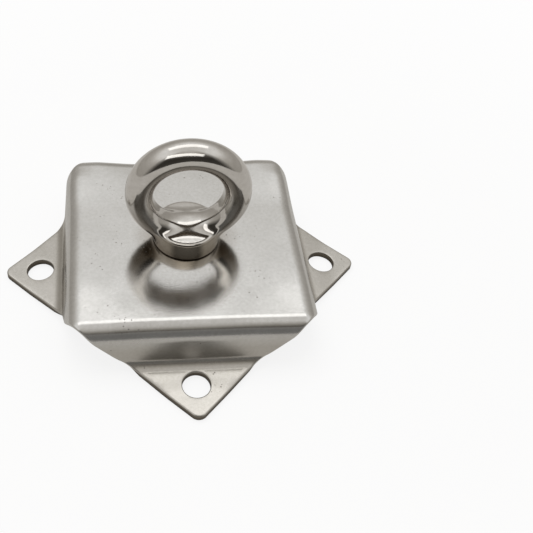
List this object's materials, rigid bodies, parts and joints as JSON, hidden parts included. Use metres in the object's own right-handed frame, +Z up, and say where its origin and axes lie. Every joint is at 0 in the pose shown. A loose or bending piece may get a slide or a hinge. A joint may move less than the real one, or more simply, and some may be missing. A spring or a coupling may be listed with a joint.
{
  "type": "eye plate",
  "caption": "Raised square steel plate pressed down at its corners into flat bolt-down feet, with a round lifting eye bolted through its centre.",
  "frame": {"origin": "on the mounting surface under the feet, on the axis of the eye's shank", "axes": "+Z up from the mounting surface along the shank and through the ring; the feet's holes lie on the X and Y axes; the ring stands in the XZ plane and its hole runs along Y"},
  "size_m": [0.1624, 0.1624, 0.0765],
  "materials": {
    "plate_steel": "satin, tumbled stainless steel",
    "polished_steel": "polished stainless steel",
    "fastener_steel": "plain bright stainless steel"
  },
  "bodies": {
    "root": {"plate": "plate_steel", "eye_bolt": "polished_steel", "flat_washer": "fastener_steel", "lock_washer": "fastener_steel", "hex_nut": "fastener_steel"}
  },
  "joints": []
}
